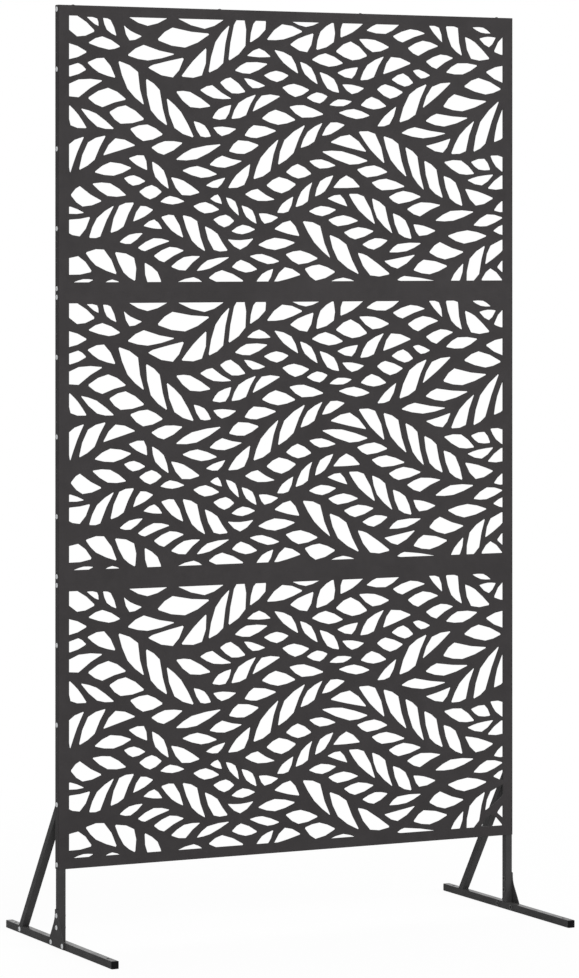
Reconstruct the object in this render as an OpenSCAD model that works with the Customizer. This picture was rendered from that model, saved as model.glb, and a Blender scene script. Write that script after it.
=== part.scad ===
// Free-standing privacy screen: three leaf-cut steel panels on two square-tube posts with braced feet.
// Origin on the floor, midway between the posts. +X runs along the screen, +Y to its back, +Z up.

/* [Panels] */
// Width of a panel over its side flanges
panel_w = 1090; // [900:10:1400]
// Height of one panel
panel_h = 600; // [440:10:800]
// Thickness of the panel sheet
sheet_t = 1; // [0.8:0.1:1.5]
// Depth of the folded flanges, measured from the front face
flange_depth = 16.7; // [13:0.1:16.9]
// Inside radius of the folds
fold_r = 0.8; // [0.5:0.1:1.2]
// Plain margin beside the leaf openings
side_margin = 24.2; // [20:0.1:60]
// Plain margin above and below the leaf openings
end_margin = 22; // [20:0.5:60]
// Fullness of a leaf opening's sides: 1 is straight from shoulder to tip, 2 is round
leaf_fullness = 1.6; // [1.2:0.1:1.8]
// Form of a side that is hollow between shoulder and tip: 1 is straight, less is hollow
leaf_hollow = 0.7; // [0.6:0.05:1]

/* [Frame] */
// Outside width of the square tube of posts, rails, feet and braces
tube_w = 16; // [15:0.5:18]
// Wall of the square tube
tube_wall = 1; // [0.8:0.1:1.5]
// Outside corner radius of the square tube
tube_r = 1.2; // [1:0.1:2.5]
// Height of the lowest panel's bottom edge above the floor
ground_gap = 164; // [140:1:260]
// Gap between a panel's side flange and the post inside it
side_fit = 0.1; // [0.05:0.05:0.5]
// Gap between a sleeve, plug or cap and the tube that it slides into
slide_fit = 0.15; // [0.1:0.05:0.3]
// Gap between a rail's end, or a flange's end, and the post
end_fit = 0.1; // [0.05:0.05:0.5]
// Wall of the sleeve inside a post's joint
sleeve_wall = 1.5; // [1:0.1:2]
// Length of sleeve beyond its bolts
sleeve_end = 17; // [12:1:30]
// Length of the threaded plug in a rail's end
plug_len = 13; // [10:0.5:14]

/* [Feet] */
// Length of a foot over its end caps
foot_len = 554; // [530:2:700]
// Thickness of a cap's head
cap_t = 3.5; // [2:0.5:5]
// Length of a cap's plug inside the tube
cap_plug = 14; // [8:1:18]
// Wall of a cap's plug
cap_wall = 1.5; // [1:0.1:2]
// Distance from a foot's end to its ground anchor hole
anchor_inset = 36; // [26:1:60]
// Diameter of a ground anchor hole
anchor_d = 7; // [5:0.5:8]

/* [Brackets and braces] */
// Thickness of the brackets
plate_t = 2; // [1.5:0.5:3]
// Half of the bracket's length along the foot
bracket_half = 38; // [36:1:46]
// Height of the bracket
bracket_h = 80; // [76:1:100]
// Height of the bracket's lower strip beside the foot
bracket_strip = 14; // [12:0.5:16]
// Height at which the flare's straight edge would meet the strip along the post
flare_top = 61; // [58:1:66]
// Radius between the flare and the strip along the post
flare_r = 45; // [20:1:60]
// Distance from the post's axis to a bracket bolt in the foot
bracket_bolt_y = 29.5; // [26:0.5:31]
// Height of the bracket's lower bolt in the post
bracket_bolt_low = 42; // [38:1:46]
// Height of the bracket's upper bolt in the post
bracket_bolt_high = 67; // [62:1:69]
// Distance from a foot's back end to the brace's bolt
brace_inset = 75; // [66:1:120]
// Thickness of the tongue in a brace's end, which the brace's bolt screws into
tongue_t = 4; // [3:0.5:5]
// Gap between a tongue and the tube walls beside it
tongue_fit = 0.5; // [0.4:0.1:1]
// Length of a tongue's wider part, welded inside the brace
tongue_weld = 12; // [8:1:30]

/* [Fasteners] */
// Diameter of the bolts through posts and feet
bolt_d = 6; // [5:0.5:6]
// Diameter of the bolts through the panels' top and bottom flanges
edge_bolt_d = 5; // [4:0.5:5]
// Added to a bolt's diameter for the hole that it passes through
bolt_fit = 0.5; // [0.3:0.1:0.8]
// Added to a bolt's diameter for the thread that it screws into
thread_fit = 0.1; // [0.05:0.05:0.2]
// Wall of a threaded insert's barrel
insert_wall = 1.5; // [1:0.1:1.6]
// Length of a threaded insert's barrel
insert_len = 9; // [6:0.5:9]
// Thickness of the rim of an insert that shows on an inner face
insert_rim = 0.8; // [0.5:0.1:1.2]
// Distance from a panel's middle to the side bolts above and below it
side_bolt_step = 166; // [140:1:180]
// Distance from the screen's middle to the inner flange bolts
edge_bolt_inner = 169; // [100:1:250]
// Distance from a rail's end to its outer flange bolt
edge_bolt_end = 19.4; // [19:0.2:60]

/* [Hidden] */
$fn = 32;
panels = 3;
paint = "#434142";
zinc = "#c9cbcc";
black_plastic = "#141414";
dark_steel = "#2b2b2c";

// Places across and through the screen
post_out = panel_w/2 - sheet_t - side_fit;
post_x = post_out - tube_w/2;
post_in = post_out - tube_w;
front_y = -tube_w/2 - sheet_t;
flange_back = front_y + flange_depth;
rail_half = post_in - end_fit;
edge_bolt_outer = rail_half - edge_bolt_end;
edge_bolt_xs = [-edge_bolt_outer, -edge_bolt_inner, edge_bolt_inner, edge_bolt_outer];

// Heights
screen_h = ground_gap + panels*panel_h;
rail_edge = sheet_t + tube_w/2;
post_top = screen_h - cap_t;
brace_top_z = ground_gap + panel_h/2 - side_bolt_step;
sleeve_bolt_zs = [for (k = [-1, 0]) ground_gap + 1.5*panel_h + k*side_bolt_step];
post_seam = (sleeve_bolt_zs[0] + sleeve_bolt_zs[1])/2;
sleeve_len = side_bolt_step + 2*sleeve_end;
rail_zs = [for (i = [0:panels - 1], h = [rail_edge, panel_h - rail_edge]) ground_gap + i*panel_h + h];
side_bolt_zs = [for (i = [0:panels - 1], k = [-1:1]) ground_gap + (i + 0.5)*panel_h + k*side_bolt_step];
// Side bolts that screw straight into the post's wall
post_insert_zs = [for (z = side_bolt_zs)
  if (z != brace_top_z && z != sleeve_bolt_zs[0] && z != sleeve_bolt_zs[1]) z];
bracket_bolts_yz = [
  [0, bracket_bolt_low], [0, bracket_bolt_high],
  [-bracket_bolt_y, tube_w/2], [bracket_bolt_y, tube_w/2]];

// Sizes that follow from the ones above
foot_tube = foot_len - 2*cap_t;
anchor_y = foot_len/2 - anchor_inset;
brace_y = foot_len/2 - brace_inset;
bore_w = tube_w - 2*tube_wall;
bore_r = max(tube_r - tube_wall, 0.2);
inner_w = bore_w - 2*slide_fit;
bolt_hole = bolt_d + bolt_fit;
edge_bolt_hole = edge_bolt_d + bolt_fit;
insert_d = bolt_d + 2*insert_wall;
edge_insert_d = edge_bolt_d + 2*insert_wall;
bolt_past_insert = 1.5;
bolt_short = 2;
head_ratio = 1.75;
head_h_ratio = 0.45;
socket_ratio = 0.66;
brace_lean = atan(brace_y/(brace_top_z - tube_w/2));
brace_run = norm([brace_y, brace_top_z - tube_w/2]);
tongue_x = post_out - tube_wall - tongue_fit - tongue_t;
tongue_r = bore_w/2 - tongue_fit;
weld_bite = 0.3;
weld_r = bore_w/2 + weld_bite;
lean_sides = [sin(brace_lean), cos(brace_lean)];
weld_from = (tube_w/2 + weld_r*max(lean_sides))/min(lean_sides) + tongue_fit;
wall_mid = (tube_w - tube_wall)/2;
cut_past = 1;
corner_r = 0.8;

// Frame in which the leaf openings are laid out: across and down a panel of 1090 x 600 from its top left
draw_w = 1043;
draw_h = 556;
draw_x = 23.5;
draw_y = 22;
window_w = panel_w - 2*side_margin;
window_h = panel_h - 2*end_margin;

// Leaf openings, one to a row: tail x, y, tip x, y, reach to the left and to the right of the line from
// tail to tip, and the place of the shoulder along it in percent, with the right side's own if it differs.
// A minus before that place marks a side that is hollow between shoulder and tip.
// Leaves at the margins run on past them and are cut straight there.
leaves_left_upper = [
  [0,24, 83,53, 16,25, 45,60], [64,24, 91,42, 11,2, 65], [101,25, 132,62, 11,9, 30,50],
  [67,78, 141,84, 17,9, 42,65], [149,39, 191,61, -3,22, 40,55], [160,21, 251,21, 0,18, 48],
  [226,68, 350,52, 22,23, -31,50], [157,102, 268,97, 21,12, -35,42], [205,127, 289,104, 3,34, 15,58],
  [0,96, 65,97, 17,17, 33], [0,139, 63,134, 15,12, 72,40], [65,119, 130,150, 26,7, 42,45],
  [136,114, 196,206, 26,14, -40,55], [200,150, 250,249, 18,20, -32,58], [248,190, 312,273, 9,24, 42,58],
  [-4,181, 101,156, 14,22, 50,-42], [66,193, 155,195, 23,18, 52,-38], [115,222, 197,236, 21,19, 42,36],
  [24,208, 64,256, 3,25, 45,55], [50,215, 127,257, 8,15, 42,58], [163,256, 240,267, 15,21, 50,43],
  [212,295, 286,284, 9,19, 45,36], [58,274, 26,351, -2,26, 45,35], [46,344, 108,271, 22,13, 60,-42],
  [101,313, 176,291, 27,0, 48]];
leaves_left_lower = [
  [81,348, 167,338, 17,12, 45,50], [160,318, 203,343, 23,3, 55,45], [214,324, 253,382, 12,12, 45],
  [149,360, 199,366, 9,13, 44], [76,372, 155,396, 13,14, 48,50], [27,396, 99,408, 22,19, -24,42],
  [184,388, 237,388, 14,16, 55,48], [233,409, 290,408, 12,6, 40,50], [8,424, 58,433, 7,8, 35],
  [10,468, 72,441, 13,28, -32,43], [69,485, 127,417, 13,18, 48,-21], [118,475, 173,411, 22,14, 67,-36],
  [217,426, 170,451, 3,21, 45,42], [194,460, 238,466, 17,2, 52], [235,441, 287,485, 22,6, 30,55],
  [139,494, 193,475, 7,12, 45,40], [181,506, 256,492, 13,10, 52,-20], [218,523, 289,512, 13,17, 55,-30],
  [258,546, 327,524, 10,18, 48,-42], [-2,541, 76,556, 26,16, 53,36], [61,516, 133,562, 28,10, 38,40],
  [128,515, 175,576, 28,10, 48,60], [197,537, 238,592, 12,21, 50,60], [34,578, 79,573, 4,6, 50],
  [102,581, 146,582, 9,2, 45], [270,580, 336,582, 13,2, 62]];
leaves_mid_upper = [
  [273,21, 383,21, 0,21, 58], [346,135, 396,32, 14,22, 58,-30], [428,4, 393,109, 28,12, 60,30],
  [478,6, 444,69, 19,12, 40,45], [484,62, 571,42, 25,7, 49,45], [282,144, 341,82, 3,33, 50,42],
  [437,97, 494,98, 17,2, 50], [408,129, 487,113, 12,13, 38,42], [502,83, 560,133, 17,6, 52,45],
  [477,138, 537,137, 10,14, 50,52], [373,155, 434,174, 18,13, 33,52], [430,145, 481,160, 3,14, 35,48],
  [326,172, 401,189, 17,9, -34,45], [270,176, 352,206, 11,19, 36,48], [355,231, 400,202, 8,18, 42,48],
  [400,232, 459,179, 14,17, 45,-40], [450,216, 517,182, 21,1, 47], [472,230, 554,232, 20,12, 40,48],
  [521,163, 587,167, 10,18, 42,49], [311,238, 352,270, 9,15, 50,62], [357,251, 412,253, 3,17, 40,38],
  [431,267, 508,256, 19,9, 32,36], [269,320, 377,286, 11,13, 38,42], [394,301, 466,287, 19,12, 36,48],
  [452,360, 513,273, 12,23, 45,-36], [511,329, 577,242, 20,14, 47,-40]];
leaves_mid_lower = [
  [284,343, 367,350, 13,11, 42,55], [348,330, 426,321, 16,10, -41,45], [392,379, 445,327, 6,22, 45,44],
  [340,374, 386,357, 3,14, 40,50], [350,402, 378,413, 15,2, 45], [258,357, 326,389, 6,23, 40,52],
  [310,418, 372,425, 12,12, 45], [387,399, 418,438, 12,5, 42], [424,416, 460,455, 12,8, 48],
  [432,392, 504,403, 16,9, -39,45], [483,373, 555,370, 17,18, 43,50], [509,431, 548,396, 6,16, 42],
  [357,446, 407,449, 12,15, 58,54], [465,433, 512,441, 3,19, 40,36], [400,471, 457,467, 12,8, 48,45],
  [285,437, 339,514, 21,13, -32,60], [337,460, 392,512, 9,22, -44,66], [391,488, 453,486, -3,23, 48,47],
  [463,500, 553,495, 13,13, 45], [502,466, 563,481, 27,2, 53], [443,524, 515,535, 9,10, 40,62],
  [318,555, 396,526, 12,6, 38], [401,547, 462,552, 17,9, 33,55], [455,586, 500,551, 8,15, 50,48],
  [501,580, 566,564, 25,1, 50], [346,570, 430,577, 19,10, 36,45]];
leaves_right_upper = [
  [544,21, 612,21, 0,11, 50], [540,71, 597,45, 4,31, 35,50], [603,81, 645,20, 14,25, 52,53],
  [718,21, 662,53, 4,24, 50,70], [650,83, 728,91, 26,14, 44,54], [707,55, 782,71, 7,20, 50],
  [725,36, 808,20, 10,15, 38,54], [790,47, 871,39, 12,15, 55,-28], [592,102, 669,108, 17,11, 42,55],
  [564,107, 607,155, 12,9, 43,42], [611,128, 659,172, 13,13, 55,58], [654,129, 705,116, 3,20, 40,60],
  [710,144, 769,91, 13,17, 45,-38], [766,130, 836,105, 29,1, 42], [666,154, 720,161, 3,17, 45,48],
  [580,184, 631,180, 10,14, 50,60], [635,199, 690,190, 9,7, 40,60], [657,215, 734,220, 11,10, 48,57],
  [751,163, 816,168, 13,17, 30,52], [711,198, 775,199, 19,8, 42,50], [752,243, 799,199, 4,17, 45,40],
  [787,141, 841,147, 17,11, 50,62], [538,204, 622,219, 10,17, 40], [565,292, 619,237, 12,14, 48,-44],
  [617,265, 673,241, 18,5, 50,35], [637,279, 726,299, 27,1, 47], [706,255, 770,324, 27,5, 33,50],
  [767,264, 825,353, 22,13, -32,50]];
leaves_right_lower = [
  [616,299, 730,318, 9,16, 42,62], [586,320, 651,329, 8,12, 45,42], [702,337, 778,342, 12,15, 55,34],
  [530,344, 592,347, 19,12, 44,48], [553,419, 594,365, 9,16, 52,-42], [600,396, 645,350, 14,9, 50,40],
  [644,377, 710,375, 26,1, 50], [630,400, 679,417, 18,1, 52], [682,390, 747,456, 23,7, 32,45],
  [739,399, 790,476, 17,13, -36,45], [790,431, 837,487, 14,17, 44,60], [585,428, 652,424, 10,12, 45,48],
  [632,446, 706,448, 11,13, 50,32], [670,473, 744,470, 10,16, 48,36], [738,365, 821,373, 12,14, 42,32],
  [780,396, 861,395, 13,15, 45,30], [570,449, 638,529, 26,8, -34,50], [635,478, 708,564, 18,19, -38,48],
  [704,517, 784,563, 6,27, 25,55], [575,551, 650,558, 12,23, 46,38], [529,520, 608,529, 12,18, 44,42],
  [632,581, 705,582, 11,2, 50], [769,535, 846,521, 0,22, 40,38], [781,516, 861,496, 12,8, 30,52],
  [715,499, 778,490, 9,15, 52,42], [801,576, 898,579, 9,6, 18,40]];
leaves_edge_upper = [
  [827,72, 904,66, 14,18, 50,-32], [880,22, 913,58, 16,2, 40], [922,22, 963,86, 24,12, -25,58],
  [989,23, 1035,35, 7,5, 55,48], [1006,47, 1048,44, 3,20, 50,55], [1043,75, 1100,62, 27,14, 50],
  [970,44, 1033,91, 6,29, 35,52], [872,100, 941,91, 11,19, 55,-35], [922,123, 1002,106, 14,12, 40,50],
  [1022,120, 1112,128, 19,19, 50], [840,121, 883,130, 6,12, 32,52], [967,153, 1062,157, 21,14, 38,58],
  [864,202, 935,145, 22,2, 52], [915,198, 1026,184, 24,15, -28,42], [806,234, 875,149, 19,20, 58,-36],
  [871,230, 979,221, 14,15, -27,42], [811,257, 923,256, 13,11, -30,48], [872,284, 934,267, -1,25, 45,58],
  [935,301, 994,227, 9,25, 48,-30], [991,296, 1057,182, 18,17, 50,-24], [1043,274, 1072,186, 5,22, 45,-25],
  [821,287, 868,381, 18,12, -30,62]];
leaves_edge_lower = [
  [868,316, 915,398, 17,18, -34,62], [917,319, 994,344, 17,12, 50,55], [985,318, 1034,335, 18,9, 58,45],
  [1034,304, 1076,345, 21,7, -45,45], [916,349, 964,415, 16,16, 36,60], [976,358, 1042,345, 3,18, 40,50],
  [1027,376, 1105,345, 14,15, 50,45], [970,377, 1042,397, 3,28, 45,48], [825,422, 910,413, 11,19, 42,-36],
  [895,447, 993,427, 13,9, 42,45], [991,457, 1066,440, 16,9, 50,42], [1043,424, 1095,402, 11,14, 45],
  [1041,469, 1100,465, 13,12, 50], [841,455, 897,469, 3,21, 45,35], [926,480, 1026,480, 12,17, 50,42],
  [880,516, 968,515, 22,16, -31,45], [841,555, 927,546, 20,13, 32,46], [931,588, 966,540, 5,15, 45,42],
  [974,590, 1021,501, 21,16, 56,-38], [1021,543, 1092,483, 23,5, 40,50], [1011,577, 1065,578, 26,5, 42,50],
  [1051,549, 1095,545, 17,17, 50]];
leaves = concat(leaves_left_upper, leaves_left_lower, leaves_mid_upper, leaves_mid_lower,
  leaves_right_upper, leaves_right_lower, leaves_edge_upper, leaves_edge_lower);

// Stations along a leaf's side: -1 at the tail, 0 at the shoulder, 1 at the tip. Both ends are cut blunt.
leaf_stations = [-0.95, -0.5, 0, 0.5, 0.95];

// A drawing point moved to the panel, from its middle across and from its bottom edge up
function placed(p) = [
  (p[0] - draw_x - draw_w/2)*window_w/draw_w,
  end_margin + (draw_h + draw_y - p[1])*window_h/draw_h];

// One side of a leaf from tail a to tip b, bulging by reach towards direction n at its shoulder
function leaf_side(a, b, n, reach, place) = [for (s = leaf_stations)
  let (
    shoulder = abs(place)/100,
    along = s < 0 ? shoulder*(1 + s) : shoulder + (1 - shoulder)*s,
    form = place < 0 && s > 0 ? leaf_hollow : leaf_fullness)
  a + along*(b - a) + reach*(1 - pow(abs(s), form))*n];

// Outline of one leaf opening: left side, and right side back
function leaf_outline(row) =
  let (
    a = [row[0], row[1]],
    b = [row[2], row[3]],
    d = (b - a)/norm(b - a),
    n = [d[1], -d[0]],
    left_side = leaf_side(a, b, n, row[4], row[6]),
    right_side = leaf_side(a, b, -n, row[5], len(row) > 7 ? row[7] : row[6]))
  [each left_side, for (i = [len(right_side) - 1:-1:0]) right_side[i]];

// All leaf openings, cut straight where they reach the margins
module leaf_openings() {
  intersection() {
    for (row = leaves) polygon([for (p = leaf_outline(row)) placed(p)]);
    translate([-window_w/2, end_margin]) square([window_w, window_h]);
  }
}

// Rectangle with rounded corners, centred
module rounded_rect(w, h, r) {
  square([w - 2*r, h], center = true);
  square([w, h - 2*r], center = true);
  for (x = [-1, 1], y = [-1, 1]) translate([x*(w/2 - r), y*(h/2 - r)]) circle(r);
}

// Section of the square tube
module tube_section() {
  difference() {
    rounded_rect(tube_w, tube_w, tube_r);
    rounded_rect(bore_w, bore_w, bore_r);
  }
}

// Solid section of a folded panel seen from above, with folds of outside radius r at the front
module fold_section(w, front, r) {
  translate([-w/2, front + r]) square([w, flange_back - front - r]);
  translate([-w/2 + r, front]) square([w - 2*r, 2*r]);
  for (x = [-1, 1]) translate([x*(w/2 - r), front + r]) circle(r);
}

// Hole or rod along X between x0 and x1
module rod_x(x0, x1, y, z, d) {
  translate([min(x0, x1), y, z]) rotate([0, 90, 0]) cylinder(h = abs(x1 - x0), d = d);
}

// Bolt hole at height z in a panel's side flange
module flange_hole(side, z) {
  rod_x(side*(post_out - cut_past), side*(panel_w/2 + cut_past), 0, z, bolt_hole);
}

// Panel i counted from below: leaf-cut sheet folded back at its four edges
module panel(i) {
  color(paint) translate([0, 0, ground_gap + i*panel_h]) difference() {
    union() {
      difference() {
        linear_extrude(panel_h) fold_section(panel_w, front_y, fold_r + sheet_t);
        translate([0, 0, -cut_past]) linear_extrude(panel_h + 2*cut_past) {
          fold_section(panel_w - 2*sheet_t, front_y + sheet_t, fold_r);
          translate([-panel_w/2 + sheet_t, flange_back - cut_past])
            square([panel_w - 2*sheet_t, 2*cut_past]);
        }
      }
      for (z = [0, panel_h - sheet_t]) translate([-rail_half, front_y + sheet_t/2, z])
        cube([2*rail_half, flange_depth - sheet_t/2, sheet_t]);
    }
    translate([0, front_y + sheet_t + cut_past, 0]) rotate([90, 0, 0])
      linear_extrude(sheet_t + 2*cut_past) leaf_openings();
    for (k = [-1:1], side = [-1, 1])
      flange_hole(side, panel_h/2 + k*side_bolt_step);
    for (z = [rail_edge, panel_h - rail_edge], side = [-1, 1]) flange_hole(side, z);
    for (x = edge_bolt_xs, z = [-cut_past, panel_h - sheet_t - cut_past])
      translate([x, 0, z]) cylinder(h = sheet_t + 2*cut_past, d = edge_bolt_hole);
  }
}

// Slot in a wall of post or foot for a brace's tongue, where the brace's end covers it
module tongue_slot(side, y, z, size_y, size_z) {
  translate([side*(tongue_x + tongue_t/2), y, z])
    cube([tongue_t + tongue_fit, size_y, size_z], center = true);
}

// Hole through the outer, the inner or both walls of a post or foot
module wall_hole(side, y, z, d, outer, inner) {
  if (outer) rod_x(side*post_x, side*(post_out + cut_past), y, z, d);
  if (inner) rod_x(side*(post_in - cut_past), side*post_x, y, z, d);
}

// Length of post tube from z0 to z1 with the holes that fall in it
module post(side, z0, z1) {
  color(paint) difference() {
    translate([side*post_x, 0, z0]) linear_extrude(z1 - z0) tube_section();
    for (z = rail_zs) if (z > z0 && z < z1) wall_hole(side, 0, z, bolt_hole, true, true);
    for (z = concat([brace_top_z], sleeve_bolt_zs)) if (z > z0 && z < z1)
      wall_hole(side, 0, z, bolt_hole, true, false);
    for (z = post_insert_zs) if (z > z0 && z < z1) wall_hole(side, 0, z, insert_d, true, false);
    for (z = [bracket_bolt_low, bracket_bolt_high]) if (z > z0 && z < z1) {
      wall_hole(side, 0, z, bolt_hole, true, false);
      wall_hole(side, 0, z, insert_d, false, true);
    }
    if (brace_top_z > z0 && brace_top_z < z1)
      tongue_slot(side, wall_mid, brace_top_z - wall_mid/tan(brace_lean), tube_wall + 2*cut_past,
        2*(tongue_r/sin(brace_lean) + tongue_fit) + tube_wall/tan(brace_lean));
  }
}

// Inner sleeve that joins the two lengths of a post
module post_sleeve(side) {
  color(dark_steel) difference() {
    translate([side*post_x, 0, post_seam - sleeve_len/2]) linear_extrude(sleeve_len) difference() {
      rounded_rect(inner_w, inner_w, corner_r);
      square(inner_w - 2*sleeve_wall, center = true);
    }
    for (z = sleeve_bolt_zs) wall_hole(side, 0, z, insert_d, true, false);
  }
}

// Rail number k counted from below, behind a panel's bottom or top edge
module rail(k) {
  lowest = k == 0;
  highest = k == 2*panels - 1;
  holds_insert_below = k % 2 == 0;
  color(paint) difference() {
    translate([-rail_half, 0, rail_zs[k]]) rotate([0, 90, 0]) linear_extrude(2*rail_half) tube_section();
    for (x = edge_bolt_xs) translate([x, 0, rail_zs[k]]) {
      if (holds_insert_below) translate([0, 0, -tube_w]) cylinder(h = tube_w, d = edge_insert_d);
      else if (highest) cylinder(h = tube_w, d = edge_insert_d);
      else translate([0, 0, -tube_w]) cylinder(h = 2*tube_w, d = edge_bolt_hole);
    }
  }
}

// Threaded plugs in the ends of the rails
module rail_end_plugs() {
  color(dark_steel) for (side = [-1, 1], z = rail_zs) difference() {
    translate([side*(rail_half - plug_len/2), 0, z]) rotate([0, 90, 0])
      linear_extrude(plug_len, center = true) rounded_rect(inner_w, inner_w, corner_r);
    rod_x(side*(rail_half - plug_len - cut_past), side*(rail_half + cut_past), 0, z, bolt_d + thread_fit);
  }
}

// Foot tube along Y with its anchor, bracket and brace holes
module foot(side) {
  color(paint) difference() {
    translate([side*post_x, foot_tube/2, tube_w/2]) rotate([90, 0, 0])
      linear_extrude(foot_tube) tube_section();
    for (y = [-anchor_y, anchor_y]) translate([side*post_x, y, -cut_past])
      cylinder(h = tube_w + 2*cut_past, d = anchor_d);
    wall_hole(side, brace_y, tube_w/2, bolt_hole, true, false);
    tongue_slot(side, brace_y - wall_mid*tan(brace_lean), tube_w/2 + wall_mid,
      2*(tongue_r/cos(brace_lean) + tongue_fit) + tube_wall*tan(brace_lean), tube_wall + 2*cut_past);
    for (y = [-bracket_bolt_y, bracket_bolt_y]) {
      wall_hole(side, y, tube_w/2, bolt_hole, true, false);
      wall_hole(side, y, tube_w/2, insert_d, false, true);
    }
  }
}

// Outline of a bracket: strip along the post that flares to the foot on both sides
module bracket_outline() {
  base = 1;
  flare_angle = atan((bracket_half - tube_w/2)/(flare_top - bracket_strip));
  blend = flare_r*tan(flare_angle/2);
  translate([-tube_w/2, base]) square([tube_w, bracket_h - base]);
  translate([-bracket_half, base]) square([2*bracket_half, bracket_strip - base]);
  for (m = [0, 1]) mirror([m, 0]) {
    polygon([[0, base], [bracket_half, bracket_strip], [tube_w/2, flare_top], [0, flare_top]]);
    difference() {
      polygon([
        [tube_w/2, flare_top + blend], [0, flare_top + blend], [0, flare_top - blend],
        [tube_w/2 + blend*sin(flare_angle), flare_top - blend*cos(flare_angle)]]);
      translate([tube_w/2 + flare_r, flare_top + blend]) circle(flare_r, $fn = 96);
    }
  }
}

// Flat plate on the outer side of post and foot that ties them together
module bracket(side) {
  inner_face = side > 0 ? post_out : -post_out - plate_t;
  color(paint) difference() {
    translate([inner_face, 0, 0]) rotate([90, 0, 90]) linear_extrude(plate_t) bracket_outline();
    for (p = bracket_bolts_yz)
      rod_x(side*(post_out - cut_past), side*(post_out + plate_t + cut_past), p[0], p[1], bolt_hole);
  }
}

// Flat tongue from the brace's bolt at the origin down along -Z, wider where it is welded in
module tongue() {
  rotate([0, 90, 0]) linear_extrude(tongue_t) {
    circle(tongue_r);
    translate([0, -tongue_r]) square([weld_from + tongue_weld, 2*tongue_r]);
    translate([weld_from, -weld_r]) square([tongue_weld, 2*weld_r]);
  }
}

// Slanting tube between post and foot, cut to seat on both, with a tapped tongue welded into each end
module brace(side) {
  tongue_side = side > 0 ? tongue_x : -tongue_x - tongue_t;
  color(paint) difference() {
    union() {
      difference() {
        translate([side*post_x, 0, brace_top_z]) rotate([brace_lean, 0, 0])
          translate([0, 0, -brace_run - tube_w]) linear_extrude(brace_run + 2*tube_w) tube_section();
        translate([side*post_x - tube_w, -4*tube_w, 0]) cube([2*tube_w, 4.5*tube_w, brace_top_z + 4*tube_w]);
        translate([side*post_x - tube_w, 0, -4*tube_w]) cube([2*tube_w, foot_len, 5*tube_w]);
      }
      translate([tongue_side, 0, brace_top_z]) rotate([brace_lean, 0, 0]) tongue();
      translate([tongue_side, brace_y, tube_w/2]) rotate([brace_lean + 180, 0, 0]) tongue();
    }
    for (p = [[0, brace_top_z], [brace_y, tube_w/2]])
      rod_x(tongue_side - cut_past, tongue_side + tongue_t + cut_past, p[0], p[1], bolt_d + thread_fit);
  }
}

// Hollow plastic cap, drawn with its head above z = 0 and its plug below
module cap() {
  linear_extrude(cap_t) rounded_rect(tube_w, tube_w, tube_r);
  translate([0, 0, -cap_plug]) linear_extrude(cap_plug) difference() {
    rounded_rect(inner_w, inner_w, corner_r);
    square(inner_w - 2*cap_wall, center = true);
  }
}

module foot_cap(side, end) {
  color(black_plastic) translate([side*post_x, end*foot_tube/2, tube_w/2]) rotate([-90*end, 0, 0]) cap();
}

// Cap in a post's top, holed for the bolt into the highest rail
module post_cap(side) {
  color(black_plastic) difference() {
    translate([side*post_x, 0, post_top]) cap();
    wall_hole(side, 0, rail_zs[2*panels - 1], bolt_hole, true, true);
  }
}

// Round-headed bolt with a hexagon socket, along +Z: head below z = 0, shank above
module bolt(d, len) {
  head_r = head_ratio*d/2;
  head_h = head_h_ratio*d;
  dome_r = (head_r*head_r + head_h*head_h)/(2*head_h);
  difference() {
    union() {
      intersection() {
        translate([0, 0, dome_r - head_h]) sphere(dome_r);
        translate([0, 0, -head_h]) cylinder(h = head_h, r = head_r);
      }
      translate([0, 0, -head_h/4]) cylinder(h = len + head_h/4, d = d);
    }
    translate([0, 0, -head_h - cut_past])
      cylinder(h = cut_past + 0.6*head_h, d = socket_ratio*d/cos(30), $fn = 6);
  }
}

// Bolt from the outer side, its head's seat at distance out from the middle
module bolt_in(side, out, y, z, len) {
  translate([side*out, y, z]) rotate([0, -90*side, 0]) bolt(bolt_d, len);
}

// Threaded insert along +Z from z = 0, with a rim below if rim is more than 0
module insert(d, rim) {
  difference() {
    union() {
      cylinder(h = insert_len, d = d + 2*insert_wall);
      if (rim > 0) translate([0, 0, -rim]) cylinder(h = rim, d = d + 4*insert_wall);
    }
    translate([0, 0, -rim - cut_past]) cylinder(h = insert_len + rim + 2*cut_past, d = d + thread_fit);
  }
}

// Bolts down one side, without the one that also holds the brace
module side_bolts(side) {
  flange = sheet_t + side_fit;
  color(zinc) {
    for (z = rail_zs) bolt_in(side, panel_w/2, 0, z, flange + tube_w + end_fit + plug_len - bolt_short);
    for (z = post_insert_zs) bolt_in(side, panel_w/2, 0, z, flange + insert_len + bolt_past_insert);
    for (z = sleeve_bolt_zs)
      bolt_in(side, panel_w/2, 0, z, flange + tube_wall + slide_fit + insert_len + bolt_past_insert/2);
  }
}

// Inserts flush in the posts' outer walls
module post_inserts(side) {
  color(dark_steel) for (z = post_insert_zs)
    translate([side*post_out, 0, z]) rotate([0, -90*side, 0]) insert(bolt_d, 0);
}

// Inserts flush in the sleeves' outer walls
module sleeve_inserts() {
  color(dark_steel) for (side = [-1, 1], z = sleeve_bolt_zs)
    translate([side*(post_out - tube_wall - slide_fit), 0, z]) rotate([0, -90*side, 0]) insert(bolt_d, 0);
}

module bracket_bolts(side) {
  color(zinc) for (p = bracket_bolts_yz)
    bolt_in(side, post_out + plate_t, p[0], p[1], plate_t + tube_w - bolt_short);
}

// Inserts in the inner walls of post and foot, with their rims on the inner faces
module bracket_inserts(side) {
  color(dark_steel) for (p = bracket_bolts_yz)
    translate([side*post_in, p[0], p[1]]) rotate([0, 90*side, 0]) insert(bolt_d, insert_rim);
}

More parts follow.
